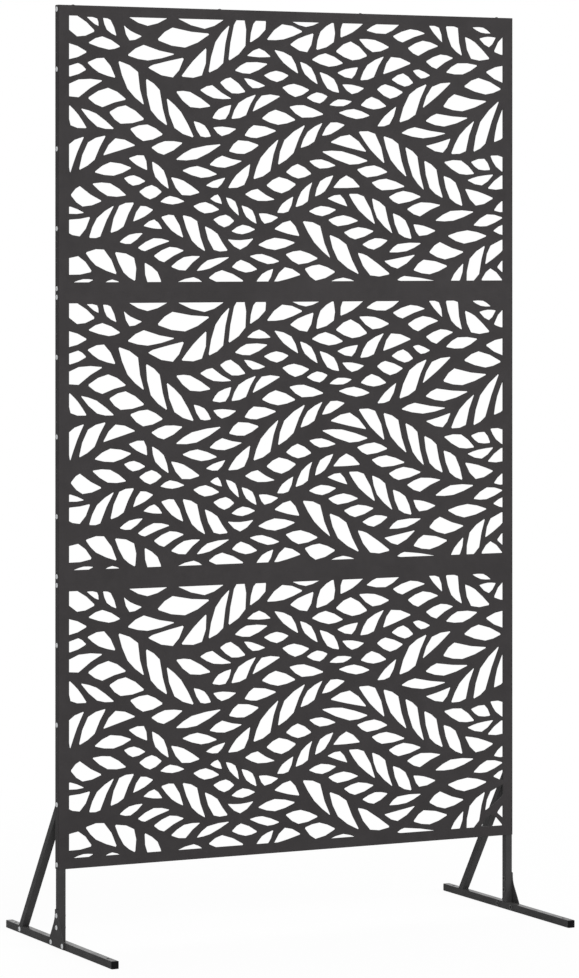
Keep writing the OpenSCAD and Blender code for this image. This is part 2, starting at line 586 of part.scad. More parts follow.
// Bolts through the outer walls of post and foot into the braces' tongues
module brace_bolts() {
  len = tube_wall + tongue_fit + tongue_t + bolt_past_insert;
  color(zinc) for (side = [-1, 1]) {
    bolt_in(side, panel_w/2, 0, brace_top_z, sheet_t + side_fit + len);
    bolt_in(side, post_out, brace_y, tube_w/2, len);
  }
}

// Bolts through the highest flange, heads up
module rail_bolts_top() {
  color(dark_steel) for (x = edge_bolt_xs) translate([x, 0, screen_h]) rotate([180, 0, 0])
    bolt(edge_bolt_d, sheet_t + insert_len + bolt_past_insert);
}

// Bolts that clamp two panels together where panel i stands on the one below
module rail_bolts_joint(i) {
  color(dark_steel) for (x = edge_bolt_xs) translate([x, 0, ground_gap + i*panel_h - sheet_t - tube_w])
    bolt(edge_bolt_d, tube_w + 2*sheet_t + insert_len + bolt_past_insert);
}

// Inserts flush in the rails' walls
module rail_inserts() {
  color(dark_steel) for (x = edge_bolt_xs) {
    for (i = [0:panels - 1]) translate([x, 0, ground_gap + i*panel_h + sheet_t]) insert(edge_bolt_d, 0);
    translate([x, 0, screen_h - sheet_t]) rotate([180, 0, 0]) insert(edge_bolt_d, 0);
  }
}

panel(2);  // panel_top
panel(1);  // panel_middle
panel(0);  // panel_bottom
rail(5);  // rail_top_upper
rail(4);  // rail_top_lower
rail(3);  // rail_middle_upper
rail(2);  // rail_middle_lower
rail(1);  // rail_bottom_upper
rail(0);  // rail_bottom_lower
rail_end_plugs();
post(-1, tube_w, post_seam);  // post_left_lower
post(-1, post_seam, post_top);  // post_left_upper
post(1, tube_w, post_seam);  // post_right_lower
post(1, post_seam, post_top);  // post_right_upper
post_sleeve(-1);  // post_sleeve_left
post_sleeve(1);  // post_sleeve_right
post_cap(-1);  // post_cap_left
post_cap(1);  // post_cap_right
foot(-1);  // foot_left
foot(1);  // foot_right
bracket(-1);  // bracket_left
bracket(1);  // bracket_right
brace(-1);  // brace_left
brace(1);  // brace_right
foot_cap(-1, -1);  // foot_cap_left_front
foot_cap(-1, 1);  // foot_cap_left_back
foot_cap(1, -1);  // foot_cap_right_front
foot_cap(1, 1);  // foot_cap_right_back
side_bolts(-1);  // side_bolts_left
side_bolts(1);  // side_bolts_right
post_inserts(-1);  // post_inserts_left
post_inserts(1);  // post_inserts_right
sleeve_inserts();
bracket_bolts(-1);  // bracket_bolts_left
bracket_bolts(1);  // bracket_bolts_right
bracket_inserts(-1);  // bracket_inserts_left
bracket_inserts(1);  // bracket_inserts_right
brace_bolts();
rail_bolts_top();
rail_bolts_joint(2);  // rail_bolts_upper_joint
rail_bolts_joint(1);  // rail_bolts_lower_joint
rail_inserts();
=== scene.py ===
"""Free-standing leaf-cut privacy screen: finishes, turned and moulded small parts, light and camera."""

import logging
import math
from dataclasses import dataclass, field
from enum import Enum

import bpy
import numpy as np
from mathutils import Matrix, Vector


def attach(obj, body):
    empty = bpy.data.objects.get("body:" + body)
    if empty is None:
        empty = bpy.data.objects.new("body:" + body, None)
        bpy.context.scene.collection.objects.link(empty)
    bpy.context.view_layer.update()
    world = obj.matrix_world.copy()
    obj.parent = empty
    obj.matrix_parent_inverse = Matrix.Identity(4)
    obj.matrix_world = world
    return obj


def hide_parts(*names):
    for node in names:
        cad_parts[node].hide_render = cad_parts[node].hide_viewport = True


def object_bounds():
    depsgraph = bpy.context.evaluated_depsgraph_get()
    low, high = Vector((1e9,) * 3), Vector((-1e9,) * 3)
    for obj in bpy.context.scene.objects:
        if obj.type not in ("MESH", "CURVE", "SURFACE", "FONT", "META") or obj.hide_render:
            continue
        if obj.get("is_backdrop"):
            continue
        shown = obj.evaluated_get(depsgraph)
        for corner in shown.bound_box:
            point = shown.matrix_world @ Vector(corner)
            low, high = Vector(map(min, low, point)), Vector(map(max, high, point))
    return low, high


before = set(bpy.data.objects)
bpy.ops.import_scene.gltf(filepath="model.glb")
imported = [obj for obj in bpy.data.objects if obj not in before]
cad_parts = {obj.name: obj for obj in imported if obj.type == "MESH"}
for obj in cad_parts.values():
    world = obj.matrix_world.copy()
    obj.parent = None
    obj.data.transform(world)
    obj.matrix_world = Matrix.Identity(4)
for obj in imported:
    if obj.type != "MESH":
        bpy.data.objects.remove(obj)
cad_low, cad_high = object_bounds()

log = logging.getLogger("privacy_screen")

MM = 0.001
BODY = "root"
PICTURE_SIZE = (579, 978)
RANGE_INPUTS = ("From Min", "From Max", "To Min", "To Max")
Colour = tuple[float, float, float]
Point = tuple[float, float, float]
Socket = bpy.types.NodeSocket


class Side(Enum):
    """The two ends of the screen, as the sign of X."""

    LEFT = -1
    RIGHT = 1

    @property
    def word(self) -> str:
        """The side's word in node names."""
        return self.name.lower()


class BoltFinish(Enum):
    """How a group of bolts is plated."""

    ZINC = "zinc"
    BLACK = "black_bolt"


@dataclass(frozen=True)
class ScreenSizes:
    """Sizes in metres that the small parts share with the solids."""

    panel_w: float = 1090 * MM
    panel_h: float = 600 * MM
    panels: int = 3
    sheet: float = 1 * MM
    tube: float = 16 * MM
    tube_wall: float = 1 * MM
    tube_radius: float = 1.2 * MM
    ground_gap: float = 164 * MM
    side_fit: float = 0.1 * MM
    slide_fit: float = 0.15 * MM
    end_fit: float = 0.1 * MM
    plug: float = 13 * MM
    insert: float = 9 * MM
    plate: float = 2 * MM
    foot: float = 554 * MM
    cap_head: float = 3.5 * MM
    cap_plug: float = 14 * MM
    side_bolt_step: float = 166 * MM
    bracket_bolt_y: float = 29.5 * MM
    bracket_bolt_low: float = 42 * MM
    bracket_bolt_high: float = 67 * MM
    brace_inset: float = 75 * MM
    tongue: float = 4 * MM
    tongue_fit: float = 0.5 * MM
    edge_bolt_inner: float = 169 * MM
    edge_bolt_end: float = 19.4 * MM
    bolt: float = 6 * MM
    edge_bolt: float = 5 * MM

    @property
    def post_out(self) -> float:
        """Outer face of a post."""
        return self.panel_w / 2 - self.sheet - self.side_fit

    @property
    def post_x(self) -> float:
        """Axis of a post."""
        return self.post_out - self.tube / 2

    @property
    def post_in(self) -> float:
        """Inner face of a post."""
        return self.post_out - self.tube

    @property
    def height(self) -> float:
        """Height of the highest panel's top edge."""
        return self.ground_gap + self.panels * self.panel_h

    @property
    def rail_heights(self) -> list[float]:
        """Heights of the rails' axes, from the lowest."""
        edge = self.sheet + self.tube / 2
        return [
            self.ground_gap + i * self.panel_h + h
            for i in range(self.panels)
            for h in (edge, self.panel_h - edge)
        ]

    @property
    def brace_top(self) -> float:
        """Height of the side bolt that also holds the brace."""
        return self.ground_gap + self.panel_h / 2 - self.side_bolt_step

    @property
    def sleeve_heights(self) -> list[float]:
        """Heights of the two side bolts that hold the sleeve in the post's joint."""
        middle = self.ground_gap + 1.5 * self.panel_h
        return [middle - self.side_bolt_step, middle]

    @property
    def insert_heights(self) -> list[float]:
        """Heights of the side bolts that screw into the post's own wall."""
        taken = {round(z, 6) for z in [self.brace_top, *self.sleeve_heights]}
        rows = [
            self.ground_gap + (i + 0.5) * self.panel_h + k * self.side_bolt_step
            for i in range(self.panels)
            for k in (-1, 0, 1)
        ]
        return [z for z in rows if round(z, 6) not in taken]

    @property
    def edge_bolt_xs(self) -> list[float]:
        """Places across the screen of the bolts through the flanges."""
        outer = self.post_in - self.end_fit - self.edge_bolt_end
        return [-outer, -self.edge_bolt_inner, self.edge_bolt_inner, outer]

    @property
    def brace_y(self) -> float:
        """Place through the screen of the brace's bolt in the foot."""
        return self.foot / 2 - self.brace_inset


SIZES = ScreenSizes()


class NodeBench:
    """A short way to lay out shader nodes in one material."""

    def __init__(self, name: str) -> None:
        """Starts an empty material.

        Args:
            name: the material's name.
        """
        self.material = bpy.data.materials.new(name)
        self.material.use_nodes = True
        self.tree = self.material.node_tree
        self.tree.nodes.clear()
        self.place = self.add("ShaderNodeTexCoord").outputs["Object"]

    def add(self, kind: str, **settings: object) -> bpy.types.Node:
        """Adds a node.

        Args:
            kind: Blender's node type.
            settings: attributes to set on it.

        Returns:
            The new node.
        """
        node = self.tree.nodes.new(kind)
        for key, value in settings.items():
            setattr(node, key, value)
        return node

    def join(self, source: Socket, target: Socket) -> None:
        """Links one socket to another."""
        self.tree.links.new(source, target)

    def noise(self, grain: float, detail: float = 2.0) -> Socket:
        """Noise with features of a given size, laid out in the object's own coordinates.

        Args:
            grain: size of a feature in metres.
            detail: octaves of finer noise.

        Returns:
            The noise value from 0 to 1.
        """
        node = self.add("ShaderNodeTexNoise")
        node.inputs["Scale"].default_value = 1 / grain
        node.inputs["Detail"].default_value = detail
        node.inputs["Roughness"].default_value = 0.5
        self.join(self.place, node.inputs["Vector"])
        return node.outputs["Fac"]

    def span(
        self, value: Socket, low: float, high: float, first: float = 0.0, last: float = 1.0
    ) -> Socket:
        """Maps a value from one range to another, clamped.

        Args:
            value: the value to map.
            low: what becomes first.
            high: what becomes last.
            first: start of the new range.
            last: end of the new range.

        Returns:
            The mapped value.
        """
        node = self.add("ShaderNodeMapRange")
        for name, number in zip(RANGE_INPUTS, (low, high, first, last)):
            node.inputs[name].default_value = number
        self.join(value, node.inputs["Value"])
        return node.outputs["Result"]

    def sum(self, kind: str, left: Socket | float, right: Socket | float) -> Socket:
        """Joins two values by arithmetic.

        Args:
            kind: Blender's name of the operation.
            left: first value.
            right: second value.

        Returns:
            The result.
        """
        node = self.add("ShaderNodeMath", operation=kind)
        for socket, value in zip(node.inputs, (left, right)):
            if isinstance(value, (int, float)):
                socket.default_value = value
            else:
                self.join(value, socket)
        return node.outputs["Value"]

    def tint(self, amount: Socket, first: Socket | Colour, second: Socket | Colour) -> Socket:
        """Blends two colours.

        Args:
            amount: 0 for the first colour, 1 for the second.
            first: a colour or a socket that gives one.
            second: a colour or a socket that gives one.

        Returns:
            The blended colour.
        """
        node = self.add("ShaderNodeMix", data_type="RGBA")
        self.join(amount, node.inputs["Factor"])
        for socket, value in zip((node.inputs[6], node.inputs[7]), (first, second)):
            if isinstance(value, tuple):
                socket.default_value = (*value, 1)
            else:
                self.join(value, socket)
        return node.outputs[2]

    def soft_edge(self, radius: float) -> tuple[Socket, Socket]:
        """Rounds edges in the shading.

        Args:
            radius: radius of the rounded edge in metres.

        Returns:
            The rounded normal, and a value that is 0 on flat faces and rises towards edges. The value is
            one less the dot product of the rounded normal and the face's own.
        """
        bevel = self.add("ShaderNodeBevel", samples=6)
        bevel.inputs["Radius"].default_value = radius
        face = self.add("ShaderNodeNewGeometry").outputs["Normal"]
        dot = self.add("ShaderNodeVectorMath", operation="DOT_PRODUCT")
        self.join(bevel.outputs["Normal"], dot.inputs[0])
        self.join(face, dot.inputs[1])
        return bevel.outputs["Normal"], self.sum("SUBTRACT", 1.0, dot.outputs["Value"])

    def upward(self) -> Socket:
        """How far a face looks up: 1 for level faces, 0 for upright and lower ones."""
        parts = self.add("ShaderNodeSeparateXYZ")
        self.join(self.add("ShaderNodeNewGeometry").outputs["Normal"], parts.inputs[0])
        return self.span(parts.outputs["Z"], 0.6, 1.0)

    def bump(self, height: Socket, depth: float, normal: Socket) -> Socket:
        """Turns a height into a normal.

        Args:
            height: height from 0 to 1.
            depth: real height in metres of the value 1.
            normal: normal to start from.

        Returns:
            The bumped normal.
        """
        node = self.add("ShaderNodeBump")
        node.inputs["Strength"].default_value = 1.0
        node.inputs["Distance"].default_value = depth
        self.join(height, node.inputs["Height"])
        self.join(normal, node.inputs["Normal"])
        return node.outputs["Normal"]

    def finish(
        self, colour: Socket, roughness: Socket, normal: Socket, **own: float | Socket
    ) -> bpy.types.Material:
        """Ends the material in one surface shader.

        Args:
            colour: base colour.
            roughness: roughness.
            normal: shading normal.
            own: numbers or sockets for the shader's other inputs, with spaces written as underscores.

        Returns:
            The finished material.
        """
        shader = self.add("ShaderNodeBsdfPrincipled")
        self.join(colour, shader.inputs["Base Color"])
        self.join(roughness, shader.inputs["Roughness"])
        self.join(normal, shader.inputs["Normal"])
        for name, value in own.items():
            socket = shader.inputs[name.replace("_", " ")]
            if isinstance(value, (int, float)):
                socket.default_value = value
            else:
                self.join(value, socket)
        output = self.add("ShaderNodeOutputMaterial")
        self.join(shader.outputs["BSDF"], output.inputs["Surface"])
        return self.material


@dataclass(frozen=True)
class PowderCoat:
    """Matt, finely textured powder coat baked on steel."""

    name: str
    colour: Colour
    thin_colour: Colour = (0.075, 0.073, 0.073)
    # Paler tone for level faces: settled dusting, and also painted light that lightens the tops as if lit
    # from above.
    top_dust_and_light_colour: Colour = (0.11, 0.105, 0.1)
    roughness: float = 0.56
    pebble: float = 1.6 * MM
    grain: float = 0.35 * MM
    texture_depth: float = 0.05 * MM
    edge_radius: float = 0.45 * MM
    cloud: float = 0.1
    cloud_size: float = 160 * MM
    cloud_fine_size: float = 20 * MM
    rub: float = 0.5
    rub_size: float = 6 * MM
    rub_gloss: float = 0.1
    top_dust_and_light: float = 0.3
    top_dust_and_light_size: float = 9 * MM
    dust_roughness: float = 0.3
    wear_size: float = 50 * MM
    sheen: float = 0.8
    sheen_size: float = 30 * MM
    sheen_roughness: float = 0.25
    specular: float = 0.05

    def build(self) -> bpy.types.Material:
        """Tone clouds over the sheet, coat rubbed thin at edges, and on level faces a sheen and a paler tone
        that is part settled dusting and part painted light, making the tops look lit from above.

        A face that looks up is handled and wiped most, so it shines where it is seen at a low angle.

        Returns:
            The material.
        """
        bench = NodeBench(self.name)
        rounded, edge = bench.soft_edge(self.edge_radius)
        upward = bench.upward()

        fine = bench.sum("MULTIPLY", bench.noise(self.cloud_fine_size), 0.5)
        clouds = bench.sum("ADD", bench.noise(self.cloud_size, 3.0), fine)
        darker = tuple(c * (1 - self.cloud) for c in self.colour)
        lighter = tuple(c * (1 + self.cloud) for c in self.colour)
        tone = bench.tint(bench.span(clouds, 0.5, 1.0), darker, lighter)

        uneven = bench.span(bench.noise(self.rub_size), 0.35, 0.7, 0.2, 1.0)
        rubbed = bench.sum("MULTIPLY", bench.span(edge, 0.04, 0.3), uneven)
        tone = bench.tint(bench.sum("MULTIPLY", rubbed, self.rub), tone, self.thin_colour)

        # Paler patches on level faces only: part settled dusting, part painted light that makes the tops
        # look lit from above.
        patches = bench.span(bench.noise(self.top_dust_and_light_size, 4.0), 0.3, 0.75, 0.0, self.top_dust_and_light)
        top_dust_and_light_mask = bench.sum("MULTIPLY", upward, patches)
        tone = bench.tint(top_dust_and_light_mask, tone, self.top_dust_and_light_colour)

        matt, glossy = self.roughness + 0.06, self.roughness - 0.05
        worn = bench.span(bench.noise(self.wear_size, 3.0), 0.3, 0.7, glossy, matt)
        polished = bench.sum("SUBTRACT", worn, bench.sum("MULTIPLY", rubbed, self.rub_gloss))
        rough = bench.sum("ADD", polished, bench.sum("MULTIPLY", top_dust_and_light_mask, self.dust_roughness))

        sand = bench.sum("MULTIPLY", bench.noise(self.grain, 1.0), 0.4)
        pebbled = bench.sum("ADD", bench.noise(self.pebble, 1.0), sand)
        normal = bench.bump(pebbled, self.texture_depth, rounded)

        strokes = bench.noise(self.sheen_size, 3.0)
        wiped = bench.span(strokes, 0.3, 0.7, 0.6 * self.sheen, self.sheen)
        return bench.finish(
            tone,
            rough,
            normal,
            Specular_IOR_Level=self.specular,
            Coat_Weight=bench.sum("MULTIPLY", upward, wiped),
            Coat_Roughness=self.sheen_roughness,
        )


@dataclass(frozen=True)
class PlatedSteel:
    """Zinc or black plating on turned steel."""

    name: str
    colour: Colour
    stain: Colour
    roughness: float
    turning: float = 0.0
    metal: float = 1.0
    edge_radius: float = 0.15 * MM
    blotch_size: float = 2.5 * MM
    edge_shine: float = 1.25
    grain: float = 0.25 * MM
    depth: float = 0.012 * MM
    turning_rings: float = 60.0

    def build(self) -> bpy.types.Material:
        """Fine turning rings round each head, blotches of passivation, and soft edges.

        The rings follow the piece's own map, where V runs from a bolt's middle outwards.

        Returns:
            The material.
        """
        bench = NodeBench(self.name)
        rounded, edge = bench.soft_edge(self.edge_radius)
        blotch = bench.span(bench.noise(self.blotch_size, 3.0), 0.35, 0.7)
        tone = bench.tint(blotch, self.colour, self.stain)
        bright = tuple(min(1.0, c * self.edge_shine) for c in self.colour)
        tone = bench.tint(bench.span(edge, 0.05, 0.4, 0.0, 0.7), tone, bright)
        fine = bench.noise(self.grain)
        if self.turning:
            own_map = bench.add("ShaderNodeUVMap", uv_map="turning").outputs["UV"]
            split = bench.add("ShaderNodeSeparateXYZ")
            bench.join(own_map, split.inputs[0])
            ring = bench.add("ShaderNodeTexWhiteNoise", noise_dimensions="1D")
            stepped = bench.sum("MULTIPLY", split.outputs["Y"], self.turning_rings)
            bench.join(bench.sum("FLOOR", stepped, 0.0), ring.inputs["W"])
            fine = bench.sum("ADD", fine, bench.sum("MULTIPLY", ring.outputs["Value"], self.turning))
        rough = bench.span(fine, 0.2, 1.2, self.roughness - 0.06, self.roughness + 0.12)
        normal = bench.bump(fine, self.depth, rounded)
        return bench.finish(tone, rough, normal, Metallic=self.metal)


@dataclass(frozen=True)
class MouldedPlastic:
    """Black moulded plastic with the fine texture of an eroded mould."""

    name: str
    colour: Colour
    scuff_colour: Colour = (0.02, 0.02, 0.02)
    roughness: float = 0.42
    edge_radius: float = 0.3 * MM
    bloom_size: float = 7 * MM
    grain: float = 0.3 * MM
    depth: float = 0.02 * MM
    specular: float = 0.05

    def build(self) -> bpy.types.Material:
        """Spark-eroded grain, a faint bloom, and scuffs at the edges.

        Returns:
            The material.
        """
        bench = NodeBench(self.name)
        rounded, edge = bench.soft_edge(self.edge_radius)
        bloom = bench.span(bench.noise(self.bloom_size, 4.0), 0.4, 0.75)
        paler = tuple(c * 1.5 + 0.001 for c in self.colour)
        tone = bench.tint(bloom, self.colour, paler)
        tone = bench.tint(bench.span(edge, 0.05, 0.35, 0.0, 0.35), tone, self.scuff_colour)
        grain = bench.noise(self.grain)
        rough = bench.span(grain, 0.2, 0.8, self.roughness - 0.05, self.roughness + 0.08)
        normal = bench.bump(grain, self.depth, rounded)
        return bench.finish(tone, rough, normal, Specular_IOR_Level=self.specular)


@dataclass
class Finishes:
    """Every finish of the screen, built once."""

    panel: bpy.types.Material = field(init=False)
    tube: bpy.types.Material = field(init=False)
    plastic: bpy.types.Material = field(init=False)
    steel: bpy.types.Material = field(init=False)
    dark_steel: bpy.types.Material = field(init=False)
    bolts: dict[BoltFinish, bpy.types.Material] = field(init=False)

    def __post_init__(self) -> None:
        """Builds the materials."""
        self.panel = PowderCoat("panel_powder_coat", (0.0318, 0.0295, 0.0302)).build()
        self.tube = PowderCoat(
            "tube_powder_coat",
            (0.0375, 0.0368, 0.0371),
            roughness=0.5,
            pebble=2.2 * MM,
            texture_depth=0.035 * MM,
        ).build()
        self.plastic = MouldedPlastic("moulded_cap_plastic", (0.003, 0.003, 0.0032)).build()
        self.steel = PlatedSteel(
            "insert_steel", (0.16, 0.16, 0.165), (0.1, 0.098, 0.095), roughness=0.42
        ).build()
        self.dark_steel = PlatedSteel(
            "black_insert_steel", (0.02, 0.02, 0.02), (0.03, 0.029, 0.028), roughness=0.55, metal=0.1
        ).build()
        zinc = PlatedSteel(
            "zinc_plated_bolt", (0.56, 0.57, 0.585), (0.42, 0.43, 0.425), roughness=0.34, turning=0.5
        )
        black = PlatedSteel(
            "black_bolt_plating",
            (0.035, 0.034, 0.035),
            (0.05, 0.048, 0.047),
            roughness=0.38,
            turning=0.3,
            metal=0.6,
        )
        self.bolts = {BoltFinish.ZINC: zinc.build(), BoltFinish.BLACK: black.build()}


def dress(node: str, material: bpy.types.Material) -> None:
    """Gives a solid its finish.

    Args:
        node: the solid's node name.
        material: the finish.
    """
    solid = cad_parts[node]
    if not solid.material_slots:
        solid.data.materials.append(material)
    for slot in solid.material_slots:
        slot.material = material
    log.info("solid %s in %s", node, material.name)


@dataclass
class Skin:
    """A surface under construction: points, faces and a map, joined from many closed shells."""

    points: list[np.ndarray] = field(default_factory=list)
    faces: list[list[int]] = field(default_factory=list)
    maps: list[tuple[float, float]] = field(default_factory=list)
    count: int = 0
    sharp_angle: float = 32.0

    def shell(self, grid: np.ndarray, first: np.ndarray, last: np.ndarray) -> None:
        """Adds a closed shell: a grid of rings that wraps round, with a pole at each end.

        Faces run between ring i and ring i + 1 and between point j and point j + 1, the last joining the
        first, and a fan of triangles closes each pole. The map's V is the share of the rings passed.

        Args:
            grid: rings of points, shaped (rings, points round, 3).
            first: pole before the first ring.
            last: pole after the last ring.
        """
        rings, around, _ = grid.shape
        start, body = self.count, self.count + 1
        end = body + rings * around
        self.points += [first[None], grid.reshape(-1, 3), last[None]]
        self.count = end + 1
        j = np.arange(around)
        k = (j + 1) % around
        i = (np.arange(rings - 1) * around)[:, None] + body
        sheets = np.stack([i + j, i + k, i + around + k, i + around + j], axis=-1).reshape(-1, 4)
        low = np.stack([np.full(around, start), body + k, body + j], axis=-1)
        tail = body + (rings - 1) * around
        high = np.stack([np.full(around, end), tail + j, tail + k], axis=-1)
        for group in (low, sheets, high):
            self.faces += group.tolist()
            share = (group - body) // around / max(rings - 1, 1)
            turn = np.where(group < body, 0.5, ((group - body) % around) / around)
            pairs = np.stack([np.clip(turn, 0, 1), np.clip(share, 0, 1)], axis=-1).reshape(-1, 2)
            self.maps += [tuple(pair) for pair in pairs.tolist()]

    def place(
        self, grid: np.ndarray, first: np.ndarray, last: np.ndarray, seat: Point, axis: Point
    ) -> None:
        """Adds a closed shell that is drawn along Z, moved to a seat and turned to an axis.

        Args:
            grid: rings of points, shaped (rings, points round, 3).
            first: pole before the first ring.
            last: pole after the last ring.
            seat: where its origin goes.
            axis: where its Z points.
        """
        rows = turned(np.array(axis, float))
        self.shell(grid @ rows + seat, first @ rows + seat, last @ rows + seat)

    def piece(self, name: str, material: bpy.types.Material, slot: str, node: str) -> None:
        """Makes the surface a piece of the screen.

        Args:
            name: the piece's name.
            material: its finish.
            slot: the record's material slot; not used.
            node: the solid that it stands for.
        """
        mesh = bpy.data.meshes.new(name)
        mesh.from_pydata(np.concatenate(self.points).tolist(), [], self.faces)
        turning = mesh.uv_layers.new(name="turning")
        turning.data.foreach_set("uv", np.array(self.maps, np.float32).ravel())
        mesh.polygons.foreach_set("use_smooth", np.ones(len(mesh.polygons), bool))
        mesh.set_sharp_from_angle(angle=math.radians(self.sharp_angle))
        mesh.materials.append(material)
        mesh.update()
        made = bpy.data.objects.new(name, mesh)
        bpy.context.scene.collection.objects.link(made)
        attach(made, BODY)
        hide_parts(node)
        log.info("piece %s: %d faces, stands for %s", name, len(mesh.polygons), node)


def turned(axis: np.ndarray) -> np.ndarray:
    """Right-handed frame whose third row runs along an axis.

    Args:
        axis: a unit vector.

    Returns:
        Rows of the frame: two across, one along.
    """
    helper = np.array([0.0, 0.0, 1.0]) if abs(axis[2]) < 0.9 else np.array([0.0, 1.0, 0.0])
    across = np.cross(helper, axis)
    across /= np.linalg.norm(across)
    return np.stack([across, np.cross(axis, across), axis])


@dataclass(frozen=True)
class ButtonBolt:
    """Round-headed bolt with a hexagon socket."""

    diameter: float
    length: float
    head_ratio: float = 1.75
    head_height_ratio: float = 0.45
    socket_ratio: float = 0.66
    socket_depth_ratio: float = 0.4
    mouth_ratio: float = 0.04
    rim_ratio: float = 0.05
    chamfer_ratio: float = 0.12
    point_ratio: float = 0.78
    dome_rings: int = 7
    around: int = 36

    def surface(self) -> tuple[np.ndarray, np.ndarray, np.ndarray]:
        """Rings from the socket's floor over the dome, round the rim and down the shank.

        A ring has a height and a radius. Inside the socket the radius follows a hexagon, flat distance
        over the cosine of the angle from the nearest flat's middle, and the mouth eases from the hexagon
        to a circle. The dome is an arc through the head's rim and top, the rim is rounded off, and the
        shank ends in a chamfer.

        Returns:
            The rings, the pole in the socket and the pole at the tip.
        """
        r, ones = self.diameter / 2, np.ones(self.around)
        head_r, head_h = self.head_ratio * r, self.head_height_ratio * self.diameter
        flat = self.socket_ratio * r
        dome = (head_r**2 + head_h**2) / (2 * head_h)
        crown = dome - head_h
        angle = np.linspace(0, 2 * np.pi, self.around, endpoint=False)
        hexagon = flat / np.cos((angle + np.pi / 6) % (np.pi / 3) - np.pi / 6)

        def dome_z(radius: np.ndarray | float) -> np.ndarray | float:
            """Height of the dome's surface at a radius."""
            return crown - np.sqrt(dome**2 - np.square(radius))

        ease = self.mouth_ratio * self.diameter
        mouth = flat / math.cos(math.pi / 6) + ease
        between = 0.5 * (hexagon + mouth)
        floor = -self.socket_depth_ratio * head_h
        rim = self.rim_ratio * self.diameter
        edge = head_r - 0.6 * rim
        edge_z = float(dome_z(edge))
        steps: list[tuple[np.ndarray | float, np.ndarray | float]] = [
            (hexagon * 0.5, floor + 0.1 * head_h),
            (hexagon * 0.97, floor),
            (hexagon, floor - 0.02 * head_h),
            (hexagon, dome_z(hexagon) + ease),
            (between, dome_z(between) + 0.2 * ease),
        ]
        steps += [(radius, dome_z(radius)) for radius in np.linspace(mouth, edge, self.dome_rings)]
        steps += [
            (head_r - 0.15 * rim, 0.55 * edge_z),
            (head_r, 0.3 * edge_z),
            (head_r - 0.15 * rim, 0.08 * edge_z),
            (head_r - rim, 0.0),
            (r + rim, 0.0),
            (r, rim),
            (r, self.length - self.chamfer_ratio * self.diameter),
            (self.point_ratio * r, self.length),
        ]
        across, along = np.cos(angle), np.sin(angle)
        grid = np.stack(
            [np.stack([radius * across, radius * along, z * ones], axis=-1) for radius, z in steps]
        )
        return grid, np.array([0.0, 0.0, floor + 0.2 * head_h]), np.array([0.0, 0.0, self.length])

    def drive(self, skin: Skin, seat: Point, axis: Point) -> None:
        """Sets one bolt in place.

        Args:
            skin: the surface that it joins.
            seat: middle of the underside of the head.
            axis: direction of the shank.
        """
        skin.place(*self.surface(), seat, axis)


@dataclass
class BoltSets:
    """The bolts, in the groups that the solids have."""

    sizes: ScreenSizes = SIZES
    thread_past: float = 1.5 * MM
    short: float = 2 * MM

    def inward(self, skin: Skin, side: Side, out: float, y: float, z: float, length: float) -> None:
        """Drives a bolt from the outer side.

        Args:
            skin: the surface that it joins.
            side: the side of the screen.
            out: distance of the head's seat from the middle.
            y: place through the screen.
            z: height.
            length: length of the shank.
        """
        ButtonBolt(self.sizes.bolt, length).drive(skin, (side.value * out, y, z), (-side.value, 0, 0))

    def side_bolts(self, side: Side) -> Skin:
        """Bolts down one side of the panels.

        Args:
            side: the side of the screen.

        Returns:
            Their surface.
        """
        s, skin = self.sizes, Skin()
        flange, out = s.sheet + s.side_fit, s.panel_w / 2
        for z in s.rail_heights:
            self.inward(skin, side, out, 0, z, flange + s.tube + s.end_fit + s.plug - self.short)
        for z in s.insert_heights:
            self.inward(skin, side, out, 0, z, flange + s.insert + self.thread_past)
        for z in s.sleeve_heights:
            wall = s.tube_wall + s.slide_fit
            self.inward(skin, side, out, 0, z, flange + wall + s.insert + self.thread_past / 2)
        return skin

    def bracket_bolts(self, side: Side) -> Skin:
        """Two bolts into the post and two into the foot.

        Args:
            side: the side of the screen.

        Returns:
            Their surface.
        """
        s, skin = self.sizes, Skin()
        low = s.tube / 2
        for y, z in (
            (0, s.bracket_bolt_low),
            (0, s.bracket_bolt_high),
            (-s.bracket_bolt_y, low),
            (s.bracket_bolt_y, low),
        ):
            self.inward(skin, side, s.post_out + s.plate, y, z, s.plate + s.tube - self.short)
        return skin

    def brace_bolts(self) -> Skin:
        """The bolts at both ends of both braces."""
        s, skin = self.sizes, Skin()
        length = s.tube_wall + s.tongue_fit + s.tongue + self.thread_past
        for side in Side:
            self.inward(skin, side, s.panel_w / 2, 0, s.brace_top, s.sheet + s.side_fit + length)
            self.inward(skin, side, s.post_out, s.brace_y, s.tube / 2, length)
        return skin

    def edge_bolts(self, height: float, up: float, length: float) -> Skin:
        """Four bolts through a flange.

        Args:
            height: height of the heads' seats.
            up: 1 where the shanks point up, -1 where they point down.
            length: length of the shanks.

        Returns:
            Their surface.
        """
        skin = Skin()
        for x in self.sizes.edge_bolt_xs:
            ButtonBolt(self.sizes.edge_bolt, length).drive(skin, (x, 0, height), (0, 0, up))
        return skin

    def build(self, finishes: Finishes) -> None:
        """Makes every group a piece that stands for its solids.

        Args:
            finishes: the finishes.
        """
        s = self.sizes
        zinc, black = finishes.bolts[BoltFinish.ZINC], finishes.bolts[BoltFinish.BLACK]
        for side in Side:
            for group, drive in (("side_bolts", self.side_bolts), ("bracket_bolts", self.bracket_bolts)):
                node = f"{group}_{side.word}"
                drive(side).piece(f"{node}_turned", zinc, BoltFinish.ZINC.value, node)
        self.brace_bolts().piece("brace_bolts_turned", zinc, BoltFinish.ZINC.value, "brace_bolts")
        short = s.sheet + s.insert + self.thread_past
        joint = s.tube + s.sheet + short
        for node, height, up, length in (
            ("rail_bolts_top", s.height, -1, short),
            ("rail_bolts_upper_joint", s.ground_gap + 2 * s.panel_h - s.sheet - s.tube, 1, joint),
            ("rail_bolts_lower_joint", s.ground_gap + s.panel_h - s.sheet - s.tube, 1, joint),
        ):
            skin = self.edge_bolts(height, up, length)
            skin.piece(f"{node}_turned", black, BoltFinish.BLACK.value, node)


